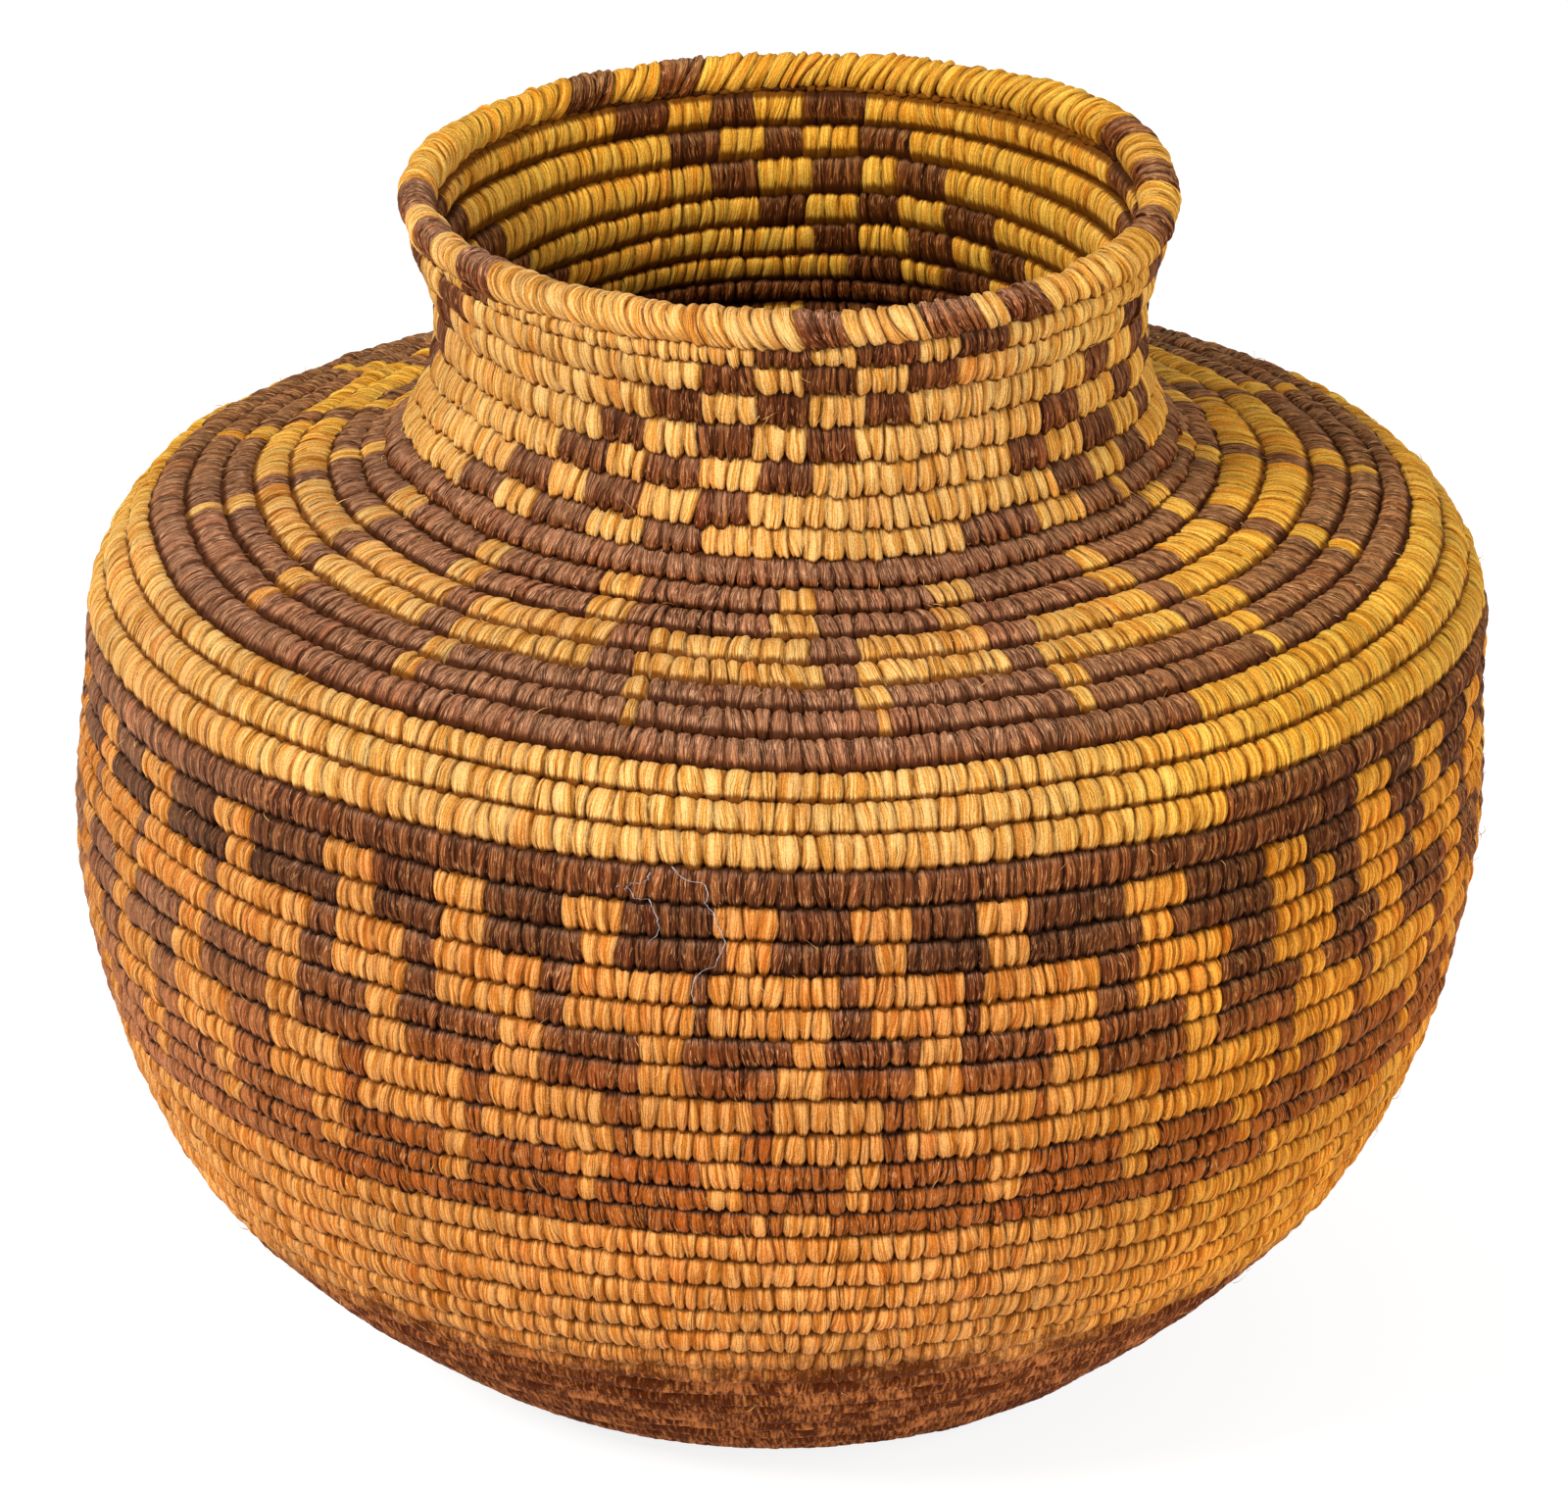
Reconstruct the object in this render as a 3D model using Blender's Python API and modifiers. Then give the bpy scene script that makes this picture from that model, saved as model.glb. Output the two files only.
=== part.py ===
# Coiled basketry olla: one coil winds out from a start knot across the flat base,
# up the wall, over the shoulder and up the neck, and a thicker coil closes the rim.
# Each turn of the coil is a piece of its own, sewn to the turn below it.
# Metres, +Z up. The origin is at the middle of the base, on the resting plane.

import math
from bisect import bisect_left
from itertools import accumulate

import bmesh
import bpy
from mathutils import Vector

# The outline: the outer surface of the wall, from the edge of the flat base to the mouth.
# Each rise is measured up from the station below it. Insets are measured in from the belly
# and spreads out from the throat, so that their stations follow those two radii.
BASE_RADIUS = 0.0550
BELLY_RADIUS = 0.1500
THROAT_RADIUS = 0.0750
FOOT_INSET = 0.0554
FOOT_RISE = 0.0207
LOWER_WALL_INSET = 0.0205
LOWER_WALL_RISE = 0.0366
UPPER_WALL_INSET = 0.0067
UPPER_WALL_RISE = 0.0336
BELLY_RISE = 0.0331
WAIST_INSET = 0.0016
WAIST_RISE = 0.0320
SHOULDER_EDGE_INSET = 0.0030
SHOULDER_EDGE_RISE = 0.0205
SHOULDER_TURN_INSET = 0.0110
SHOULDER_TURN_RISE = 0.0128
SHOULDER_SLOPE_INSET = 0.0400
SHOULDER_SLOPE_RISE = 0.0107
NECK_ROOT_SPREAD = 0.0085
NECK_ROOT_RISE = 0.0090
NECK_TURN_SPREAD = 0.0028
NECK_TURN_RISE = 0.0097
THROAT_RISE = 0.0198
MOUTH_SPREAD = 0.0047
MOUTH_RISE = 0.0183

# The coil
WALL_THICKNESS = 0.0060
GROOVE_DEPTH = 0.0011
SEWN_GAP = 0.0003
START_KNOT_RADIUS = 0.0040
TAPER_END_HEIGHT = 0.0014
RIM_THICKNESS = 0.0087
RIM_OVERHANG = 0.0028
SEAM_ANGLE = math.radians(-52.5)

# Turns of the coil in each zone, counted outwards and upwards from the start knot
ZONES = (
    ("base_round", 7, "dark"),
    ("foot_round", 10, "dark"),
    ("lower_belly_round", 7, "tan"),
    ("belly_round", 12, "brown"),
    ("shoulder_edge_round", 3, "tan"),
    ("shoulder_round", 8, "brown"),
    ("neck_round", 7, "tan"),
)

# Facets
SEGMENTS_PER_TURN = 22
RIM_SIDES = 8
OUTLINE_STEPS = 12
SHARP_ANGLE = math.radians(35)

# Splint colours and how rough they are
SPLINTS = {
    "tan": ((0.62, 0.34, 0.11, 1.0), 0.55),
    "brown": ((0.13, 0.055, 0.030, 1.0), 0.60),
    "dark": ((0.11, 0.040, 0.016, 1.0), 0.65),
}


def outline_stations():
    """The stations in order: how far each lies from the axis, and its height."""
    radii_and_rises = [
        (BASE_RADIUS, 0.0),
        (BELLY_RADIUS - FOOT_INSET, FOOT_RISE),
        (BELLY_RADIUS - LOWER_WALL_INSET, LOWER_WALL_RISE),
        (BELLY_RADIUS - UPPER_WALL_INSET, UPPER_WALL_RISE),
        (BELLY_RADIUS, BELLY_RISE),
        (BELLY_RADIUS - WAIST_INSET, WAIST_RISE),
        (BELLY_RADIUS - SHOULDER_EDGE_INSET, SHOULDER_EDGE_RISE),
        (BELLY_RADIUS - SHOULDER_TURN_INSET, SHOULDER_TURN_RISE),
        (BELLY_RADIUS - SHOULDER_SLOPE_INSET, SHOULDER_SLOPE_RISE),
        (THROAT_RADIUS + NECK_ROOT_SPREAD, NECK_ROOT_RISE),
        (THROAT_RADIUS + NECK_TURN_SPREAD, NECK_TURN_RISE),
        (THROAT_RADIUS, THROAT_RISE),
        (THROAT_RADIUS + MOUTH_SPREAD, MOUTH_RISE),
    ]
    heights = accumulate(rise for _, rise in radii_and_rises)
    return [Vector((radius, height)) for (radius, _), height in zip(radii_and_rises, heights)]


def smooth_outline(stations):
    """The flat base, then a smooth curve that leaves it level and ends upright."""
    legs = [(b - a).length for a, b in zip(stations, stations[1:])]
    slopes = [(b - a) / leg for a, b, leg in zip(stations, stations[1:], legs)]
    headings = [Vector((1.0, 0.0))]
    for below, above, near, far in zip(slopes, slopes[1:], legs, legs[1:]):
        headings.append((below * far + above * near) / (near + far))
    headings.append(Vector((0.0, 1.0)))
    points = [Vector((0.0, 0.0))]
    for i, leg in enumerate(legs):
        a, b = stations[i], stations[i + 1]
        leaving, arriving = headings[i] * leg, headings[i + 1] * leg
        for step in range(OUTLINE_STEPS):
            t = step / OUTLINE_STEPS
            point = a * (2 * t**3 - 3 * t**2 + 1) + b * (3 * t**2 - 2 * t**3)
            points.append(point + leaving * (t**3 - 2 * t**2 + t) + arriving * (t**3 - t**2))
    points.append(stations[-1])
    return points


class Outline:
    """The outline by its length, measured along it from the middle of the base."""

    def __init__(self, points):
        self.points = points
        self.lengths = [0.0]
        for a, b in zip(points, points[1:]):
            self.lengths.append(self.lengths[-1] + (b - a).length)
        self.total = self.lengths[-1]

    def at(self, length):
        """The point at this length."""
        i = min(max(bisect_left(self.lengths, length), 1), len(self.points) - 1)
        share = (length - self.lengths[i - 1]) / (self.lengths[i] - self.lengths[i - 1])
        return self.points[i - 1].lerp(self.points[i], share)

    def upward(self, length):
        """The direction up the outline there, and straight up at the mouth."""
        if length >= self.total:
            return Vector((0.0, 1.0))
        below = max(length - WALL_THICKNESS / 2, 0.0)
        above = min(length + WALL_THICKNESS / 2, self.total)
        return (self.at(above) - self.at(below)).normalized()


OUTLINE = Outline(smooth_outline(outline_stations()))
MOUTH = OUTLINE.points[-1]
TURNS = sum(count for _, count, _ in ZONES)
PITCH = (OUTLINE.total - START_KNOT_RADIUS) / TURNS


def coil_edge(turns):
    """How far up the outline the coil's lower edge lies after so many turns."""
    return min(START_KNOT_RADIUS + PITCH * turns, OUTLINE.total)


def inward_from(point, up, depth):
    return point - Vector((up.y, -up.x)) * depth


def seat(length, side):
    """The outer and inner end of the flat that faces the next turn.

    side is +1 on the lower side of a turn and -1 on its upper side. The groove
    outside it fades to nothing on the flat base, which the basket stands on.
    """
    up = OUTLINE.upward(length)
    point = OUTLINE.at(length) + up * side * SEWN_GAP / 2
    groove = GROOVE_DEPTH * min(max((length - BASE_RADIUS) / PITCH, 0.0), 1.0)
    return inward_from(point, up, groove), inward_from(point, up, WALL_THICKNESS - GROOVE_DEPTH)


def coil_section(turns, crowned):
    """The corners of the coil's section, in radius and height."""
    low = coil_edge(turns)
    high = coil_edge(turns + 1.0)
    middle = (low + high) / 2
    crown = OUTLINE.at(middle)
    inner_crown = inward_from(crown, OUTLINE.upward(middle), WALL_THICKNESS)
    low_outer, low_inner = seat(low, 1)
    high_outer, high_inner = seat(high, -1)
    outside = [low_outer, crown, high_outer] if crowned else [low_outer, high_outer]
    return outside + [high_inner, inner_crown, low_inner]


def around(corner, angle):
    return Vector((corner.x * math.cos(angle), corner.x * math.sin(angle), corner.y))


def splint_material(name, splint):
    colour, roughness = SPLINTS[splint]
    material = bpy.data.materials.new(name + "_" + splint)
    material.use_nodes = True
    shader = material.node_tree.nodes["Principled BSDF"]
    shader.inputs["Base Color"].default_value = colour
    shader.inputs["Roughness"].default_value = roughness
    shader.inputs["Metallic"].default_value = 0.0
    return material


def add_piece(name, mesh, splint):
    mesh.shade_smooth()
    mesh.set_sharp_from_angle(angle=SHARP_ANGLE)
    mesh.materials.append(splint_material(name, splint))
    piece = bpy.data.objects.new(name, mesh)
    basket.objects.link(piece)
    return piece


def closed_mesh(name, bm):
    bmesh.ops.triangulate(bm, faces=bm.faces)
    bmesh.ops.recalc_face_normals(bm, faces=bm.faces)
    mesh = bpy.data.meshes.new(name)
    bm.to_mesh(mesh)
    bm.free()
    return mesh


def join_rings(bm, rings):
    for ring, following in zip(rings, rings[1:]):
        for i, corner in enumerate(ring):
            j = (i + 1) % len(ring)
            bm.faces.new((corner, ring[j], following[j], following[i]))


def start_knot(splint):
    """The button that the first turn leaves from: its edge follows that turn inwards."""
    bm = bmesh.new()
    rings = [[], []]
    heights = (0.0, WALL_THICKNESS - GROOVE_DEPTH)
    trim = SEWN_GAP / (2 * math.pi * START_KNOT_RADIUS)
    for turns in [i / SEGMENTS_PER_TURN for i in range(SEGMENTS_PER_TURN)] + [1.0 - trim]:
        angle = SEAM_ANGLE - 2 * math.pi * turns
        edge = coil_edge(turns) - SEWN_GAP / 2
        for ring, height in zip(rings, heights):
            ring.append(bm.verts.new(around(Vector((edge, height)), angle)))
    join_rings(bm, rings)
    bm.faces.new(rings[0])
    bm.faces.new(rings[1])
    return add_piece("start_knot", closed_mesh("start_knot", bm), splint)


def coil_turn(name, first, splint, crowned):
    """One turn of the coil, lofted through its sections. The last turn runs out thin."""
    last = min(first + 1.0, TURNS - TAPER_END_HEIGHT / PITCH)
    trim = SEWN_GAP / 2 / (2 * math.pi * OUTLINE.at(coil_edge(first + 0.5)).x)
    steps = round((last - first) * SEGMENTS_PER_TURN)
    stops = [first + i / SEGMENTS_PER_TURN for i in range(steps)] + [last - trim]
    stops[0] += trim
    bm = bmesh.new()
    rings = []
    for turns in stops:
        angle = SEAM_ANGLE - 2 * math.pi * turns
        section = coil_section(turns, crowned)
        rings.append([bm.verts.new(around(corner, angle)) for corner in section])
    join_rings(bm, rings)
    bm.faces.new(rings[0])
    bm.faces.new(rings[-1])
    return add_piece(name, closed_mesh(name, bm), splint)


def rim_coil(splint):
    """The thicker coil round the mouth: a turned ring with a flat side down on its seat."""
    middle = MOUTH.x + RIM_OVERHANG - RIM_THICKNESS / 2
    underside = MOUTH.y + SEWN_GAP / 2
    half = RIM_THICKNESS / 2
    bm = bmesh.new()
    corners = []
    for i in range(RIM_SIDES):
        turn = 2 * math.pi * (i + 0.5) / RIM_SIDES
        reach = half / math.cos(math.pi / RIM_SIDES)
        x = middle + reach * math.sin(turn)
        corners.append(bm.verts.new((x, 0.0, underside + half + reach * math.cos(turn))))
    for corner, following in zip(corners, corners[1:] + corners[:1]):
        bm.edges.new((corner, following))
    mesh = bpy.data.meshes.new("rim_coil")
    bm.to_mesh(mesh)
    bm.free()
    piece = add_piece("rim_coil", mesh, splint)
    piece.rotation_euler.z = SEAM_ANGLE
    screw = piece.modifiers.new("turned", "SCREW")
    screw.angle = 2 * math.pi
    screw.steps = SEGMENTS_PER_TURN
    screw.render_steps = SEGMENTS_PER_TURN
    screw.use_merge_vertices = True
    screw.merge_threshold = 0.0001
    return piece


for old in list(bpy.data.objects):
    bpy.data.objects.remove(old, do_unlink=True)

basket = bpy.data.collections.new("basketry_olla")
bpy.context.scene.collection.children.link(basket)

start_knot("dark")
turn = 0
for zone, count, splint in ZONES:
    for number in range(1, count + 1):
        coil_turn(f"{zone}_{number:02d}", turn, splint, crowned=zone != "base_round")
        turn += 1
rim_coil("tan")

height = MOUTH.y + SEWN_GAP / 2 + RIM_THICKNESS
print(f"{TURNS} turns, {PITCH * 1000:.2f} mm from turn to turn, {height * 1000:.1f} mm high")
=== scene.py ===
# The looks of a coiled basketry olla. Every turn of the coil is sewn over, stitch by
# stitch, with flat splints that bulge, lean and fray a little, in tan and brown.
# Metres, +Z up, with the origin at the middle of the base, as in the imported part.

import math
from types import SimpleNamespace

import bpy
import numpy as np
from mathutils import Matrix, Vector

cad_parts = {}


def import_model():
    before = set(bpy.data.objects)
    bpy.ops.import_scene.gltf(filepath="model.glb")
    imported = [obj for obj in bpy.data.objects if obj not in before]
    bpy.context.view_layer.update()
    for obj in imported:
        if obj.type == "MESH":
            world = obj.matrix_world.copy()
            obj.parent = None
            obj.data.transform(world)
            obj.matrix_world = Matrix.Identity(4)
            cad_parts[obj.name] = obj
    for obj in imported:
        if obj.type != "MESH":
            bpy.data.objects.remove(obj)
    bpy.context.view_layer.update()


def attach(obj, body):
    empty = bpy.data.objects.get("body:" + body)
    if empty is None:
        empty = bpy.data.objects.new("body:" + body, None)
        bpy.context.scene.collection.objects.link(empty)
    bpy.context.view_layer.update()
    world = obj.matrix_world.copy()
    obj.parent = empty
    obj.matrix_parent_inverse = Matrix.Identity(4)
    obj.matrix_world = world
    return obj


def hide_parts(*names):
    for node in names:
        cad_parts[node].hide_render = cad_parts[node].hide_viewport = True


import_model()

# The outline of the wall's outer surface: each station, its radius, and its rise above the
# station below it
BASE_RADIUS = 0.055
STATIONS = (
    ("base", BASE_RADIUS, 0),
    ("foot", 0.0946, 0.0207),
    ("lower wall", 0.1295, 0.0366),
    ("upper wall", 0.1433, 0.0336),
    ("belly", 0.15, 0.0331),
    ("waist", 0.1484, 0.032),
    ("shoulder edge", 0.147, 0.0205),
    ("shoulder turn", 0.139, 0.0128),
    ("shoulder slope", 0.11, 0.0107),
    ("neck root", 0.0835, 0.009),
    ("neck turn", 0.0778, 0.0097),
    ("throat", 0.075, 0.0198),
    ("mouth", 0.0797, 0.0183),
)
OUTLINE_STEPS = 60

# The coil: it begins round a knot, runs out thin under the rim, and has its seam right of
# the front. The first turns lie flat, and the foot's are worn smooth up to about turn 17.
WALL_THICKNESS = 0.006
START_KNOT_RADIUS = 0.004
TAPER_END_HEIGHT = 0.0014
THIN_HALF_HEIGHT = 0.002
THINNEST_SHARE = 0.4
MOUTH_TUCK = 0.0014
SEAM_ANGLE = math.radians(-52.5)
SECTION_POINTS = 24
COIL_OVERLAP = 0.00012
COIL_SWELL = 0.05
COIL_SWELLS_PER_TURN = 60
COIL_LUMPS = 0.00025
COIL_LUMPS_PER_TURN = 34
FLAT_FADE_TURNS = 3
FOOT_WEAR = 0.75
FOOT_WORN = (18.5, 16.5)

# The knot's dome, from below by its outside to the top, as shares of its reach and height
KNOT_HEIGHT = 0.0056
KNOT_STITCHES = 9
KNOT_PROFILE = (
    (0.02, 0.1), (0.45, 0.05), (0.8, 0.05), (0.97, 0.25), (1, 0.5), (0.97, 0.75),
    (0.8, 0.93), (0.45, 1), (0.02, 0.98),
)
KNOT_BULGE = 0.0002
KNOT_GAP_DEPTH = 0.00045

# The rim coil
RIM_THICKNESS = 0.0087
RIM_OVERHANG = 0.0028
RIM_SECTION_POINTS = 28
RIM_STITCH_WIDTH = 0.0034
RIM_LEAN = math.radians(-24)
RIM_LEAN_SPREAD = math.radians(11)
RIM_LUMPS = 0.0005
RIM_LUMPS_PER_TURN = 40
RIM_SAG = 0.0002
RIM_INSET_IN_BULGES = 1.7
RIM_STITCH_SLOPE = 0.6
RIM_GAP_SHARE = 0.9

# Each zone with its turns, the width of its stitches and the slot of its colour
ZONES = (
    ("base_round", 7, 0.004, "base_splint"),
    ("foot_round", 10, 0.0038, "base_splint"),
    ("lower_belly_round", 7, 0.0035, "tan_splint"),
    ("belly_round", 12, 0.00325, "brown_splint"),
    ("shoulder_edge_round", 3, 0.0041, "tan_splint"),
    ("shoulder_round", 8, 0.0036, "brown_splint"),
    ("neck_round", 7, 0.0036, "tan_splint"),
)
TURNS = sum(zone[1] for zone in ZONES)

# The waves of the courses: how many to a turn, how strong, their phase and its drift by turn.
# The waves and the lumps fade over so many turns at the coil's start and at its end.
COURSE_WAVE = 0.0005
WAVE_FADES = (6, 3)
LUMP_FADES = (2, 1.5)
WAVES = ((2, 1, 0.7, 0.09), (3, 0.7, 2.1, -0.13), (7, 0.5, 0, 0.31), (11, 0.35, 1.3, -0.4))
# Where the courses lie above an even spacing, up the outline, by turn
COURSE_DRIFT = (
    (14, 0), (17, -0.0008), (19.5, 0), (22.5, 0.0011), (24.5, 0.0008), (26, -0.0012),
    (28.3, -0.0014), (29.5, -0.0003), (31.5, -0.0015), (35, -0.0019), (37.5, 0.0002),
    (39.2, -0.001), (40.5, 0.0009), (42, 0.0024), (43, 0.0029), (44, 0.0045),
    (45, 0.0054), (46, 0.0047), (47, 0.0032), (48, 0.0018), (49, 0.0013),
    (50.8, 0.0009), (52.3, 0.0015), (52.8, 0.0014), (53, 0.0021), (53.1, 0.002),
    (53.2, 0.0026), (53.3, 0.0034), (53.4, 0.0042), (53.6, 0.0034), (54, 0.0005),
)
# How much higher the seams lie on the inside of the wall than on its outside, by turn
INNER_CLIMB = (
    (43, 0), (47.5, 0.0058), (48.6, 0.0056), (50.6, 0.0044), (51.6, 0.003),
    (52.6, 0.0021), (53.6, 0.0006), (55, 0),
)
# How far they bend up towards the left and the right side, by turn
COURSE_BENDS = (
    (21, 0, 0), (24, 0.002, 0), (26, 0.0026, 0.0012), (28, 0.0012, 0.0022),
    (30.5, 0.0022, 0.002), (32.5, 0.0024, 0), (34, -0.0008, -0.001),
    (35.5, -0.0028, -0.002), (37, -0.0014, -0.0036), (38, 0.002, -0.0012),
    (39.5, 0.0024, 0.0026), (41, 0.0018, -0.0004), (42, 0.0006, -0.0014),
    (43.5, 0.0002, -0.0002), (44.7, -0.0004, 0.001), (46, -0.0012, 0.0004),
    (47.3, -0.0008, -0.0022), (49, -0.0006, -0.0022), (50.2, -0.0008, -0.001),
    (51, 0.0004, -0.0012), (52.3, 0.0018, -0.0008), (54, 0, 0),
)
# The degrees from the front where the bend has gone, and up to where it is full
BEND_FADE = (170, 90)
# How far the hand-built walls lean to the right, by height
SIDE_LEAN = (
    (0, -0.0008), (0.03, -0.0025), (0.055, -0.0022), (0.08, -0.0015), (0.1, -0.0014),
    (0.15, 0.0002), (0.175, 0.0012), (0.195, 0.0013), (0.21, 0.0006), (0.235, 0.0015),
    (0.25, 0.0012), (0.27, 0.0006),
)
# How much wider they are than round, as a share, by height
SIDE_SPREAD = (
    (0.06, 0), (0.08, 0.004), (0.093, 0.003), (0.107, 0), (0.15, 0), (0.18, 0.004),
    (0.198, 0.005), (0.215, 0.002), (0.23, 0),
)
# The shoulder sags at its back left: how far, and the box that the sag fades out over
SAG = 0.0023
SAG_FROM = (-0.02, -0.02, 0.168)
SAG_FULL = (-0.08, 0.05, 0.188)
SAG_TOP = (0.214, 0.232)
SAG_LEFT = (-0.105, -0.135)

# How much higher the mouth lies than at the front, by azimuth, and the turn its rise begins at
MOUTH_LIFT_FROM_TURN = 51
MOUTH_LIFT = (
    (-180, 0.0014), (-150, 0.0012), (-120, 0.0008), (-90, 0.00035), (-45, 0), (0, 0),
    (45, 0), (75, 0.0001), (95, 0.0007), (112, 0.0023), (124, 0.0023), (138, 0.0021),
    (149, 0.0017), (165, 0.0018), (180, 0.0014),
)
# How much thicker the rim is than at the front, as a share, by azimuth
RIM_SWELL = (
    (-180, -0.03), (-150, 0), (0, 0), (60, 0), (85, 0), (112, 0.17), (135, 0.16),
    (158, 0.05), (180, -0.03),
)

# The sewing: how unlike the stitches are, how far they bulge, and what they do at their ends
FEWEST_STITCHES = 9
STITCH_WIDTH_SPREAD = 0.36
STITCH_BULGE = 0.0005
STITCH_TILT = 0.55
STITCH_GAP_DEPTH = 0.00048
STITCH_GAP_POWER = 7
BROWN_GAP_SHARE = 0.7
STITCH_PINCH = 0.17
STRAND_RELIEF = 0.0002
TONGUE_LENGTH = 0.001
TONGUE_FRAY = 0.001
TONGUE_LIFT = 0.0003
STITCH_LEAN = math.radians(-1.5)
STITCH_LEAN_SPREAD = math.radians(9)
STITCH_BOW = 0.0002
# Where the columns of points stand across each stitch, from its left edge at -1
COLUMNS_ACROSS = (-1, -0.86, -0.64, -0.38, -0.13, 0.13, 0.38, 0.64, 0.86)

# The painted shade in the grooves between courses: where it begins and where it is full, as shares
# of the way from the middle of a course to its seams. The coil's thin end is painted wholly in
# groove shade.
GROOVE_BELOW = (0.5, 1)
GROOVE_ABOVE = (0.7, 1)
# On the belly the painted shade reaches further up each course, as the shadow under the course
# above
GROOVE_ABOVE_ON_BELLY = (0.56, 1)
GROOVE_INSIDE = (0.38, 0.88)
GROOVE_UNDER_RIM = (0.6, 1)
# A course thinner than these half heights is painted dark all over, as a shadowed groove
GROOVE_HALF_HEIGHT = (0.0017, 0.0009)

# How much the stitches' tones differ, and how much darker some of the brown ones are
BROWN_TONES = 0.16
TAN_TONES = 0.09
DARK_RINGS_SHADE = 0.7
BLACK_STRETCH_SHADE = 0.62
NECK_BROWN_SHADE = 0.84

# The map that the colours are baked on: rows of stitches, and above them the two end caps
MAP_ROWS = 6
MAP_ROWS_SHARE = 0.96
MAP_ROW_MARGIN = 0.015
CAP_PLACES = ((0.02, 0.98), (0.07, 0.98))
CAP_RADIUS = 0.014

# Frayed ends that stand out of the sewing, and threads of lint on the front of the belly
LOOSE_FIBRES = 1500
LOOSE_FROM_TURN = 15
LOOSE_TO_TURN = TURNS - 1.2
LOOSE_LENGTH = 0.0042
LOOSE_LIFT = 0.0016
LOOSE_CURL = 0.0009
LOOSE_THICKNESS = 0.00022
LOOSE_STEPS = 5
LINT_STEPS = 60
LINT_LIFT = 0.0008
LINT_THICKNESS = 0.0003
# Each thread's path, as degrees to the right of the front and turns of the coil
LINT_THREADS = (
    (
        (-13.3, 35.3), (-12.6, 35.3), (-11.8, 35), (-10.8, 35), (-10.4, 34.8), (-9.9, 34.4),
        (-10, 34), (-10.5, 33.7),
    ),
    ((-10.7, 35.8), (-11.2, 35.5), (-12.3, 35.4), (-12.6, 35.2)),
    (
        (-9, 36), (-8, 35.7), (-6.9, 35.6), (-6.2, 35.4), (-6.2, 35.1), (-6.2, 34.9),
        (-5.5, 34.7), (-5.3, 34.4), (-4.9, 34.1), (-4.6, 33.8), (-4.9, 33.5), (-5.3, 33.1),
        (-6.3, 32.9), (-6.8, 32.7), (-6.9, 32.3), (-6.8, 32),
    ),
)

# The patterns, in degrees to the right of the front. The belly's stepped figures each have
# a start, and the ends of their middle and of their foot. The shoulder's have a start and an
# end. The photograph shows those at the front, and the rest are spread evenly round the back.
BELLY_FIGURES = (
    (-64.5, -53.3, -49.8), (-52.7, -41.6, -37.3), (-39.7, -31, -25.4), (-29.5, -19.4, -13.4),
    (-18.2, -7.2, -2.4), (-6.1, 4.1, 8.9), (5.5, 14.8, 21.1), (15.3, 26.1, 32.8),
    (28.2, 38, 44.3), (41.5, 49.8, 54.1), (52.9, 60.2, 66.7), (62.5, 73, 78),
)
BELLY_FIGURES_BEHIND = 19
SHOULDER_FIGURES = (
    (-61.3, -42.6), (-38.4, -20.7), (-15.8, 2.9), (7.8, 23.3), (28, 46.2), (50, 68.7),
)
SHOULDER_FIGURES_BEHIND = 10
# Each ring of a figure: from which of its measures the tan starts and ends, and how far off
BELLY_RINGS = {
    34: (0, 0, 0, 5),
    33: (0, 1.4, 0, 4.7),
    32: (0, 1.2, 1, 0.2),
    31: (0, 0.9, 1, 0),
    30: (1, -3.6, 1, 0),
    29: (1, -3.7, 1, 0),
    28: (1, -3.8, 2, 0),
    27: (1, -4.4, 2, 0.1),
    26: (2, -3.3, 2, -0.2),
    25: (2, -2.9, 2, -0.6),
}
SHOULDER_RINGS = {
    45: (1, -4.4, 1, 1.4),
    44: (1, -4.3, 1, 0.3),
    43: (0, 0, 1, 0),
    42: (0, -0.7, 1, 0),
    41: (0, -1, 0, 2.7),
    40: (0, -0.5, 0, 1.3),
}
BELLY_STEP = 48
SHOULDER_STEP = 55
NECK_LOWEST_COURSE = 47
NECK_TOP_COURSE = 53
NECK_EARLY_START = 62.3
NECK_EARLY_SHIFT = 4.5
NECK_BANDS = (-52, 34.2, 120.2, 216.5)
NECK_BAND_CELLS = 5
NECK_CELL_WIDTH = 7.4
NECK_CELL_GROWTH = 0.1
RIM_RUNS = (
    (-165, -159), (-151, -143), (-90, -78), (-72, -65), (-57, -49), (3, 10), (20.5, 30),
    (35, 42), (72, 82), (91, 99), (107, 115),
)
DARK_RINGS = (33, 34)
# A stretch of nearly black sewing on the left: its course, and where it starts and ends
BLACK_STRETCH = (33, -76, -45)
# Single stitches off the pattern: the course, where they start and end, and whether brown
STRAY_STITCHES = (
    (24, -1.8, -0.6, False), (24, 1.6, 5.2, False), (23, 36, 46, True),
    (42, -14.6, -14, True),
)


def curve(t, start, end, leaving, arriving):
    """A smooth curve from start to end while t goes from 0 to 1, with its slopes there."""
    ends = start * (2 * t**3 - 3 * t**2 + 1) + end * (3 * t**2 - 2 * t**3)
    return ends + leaving * (t**3 - 2 * t**2 + t) + arriving * (t**3 - t**2)


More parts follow.
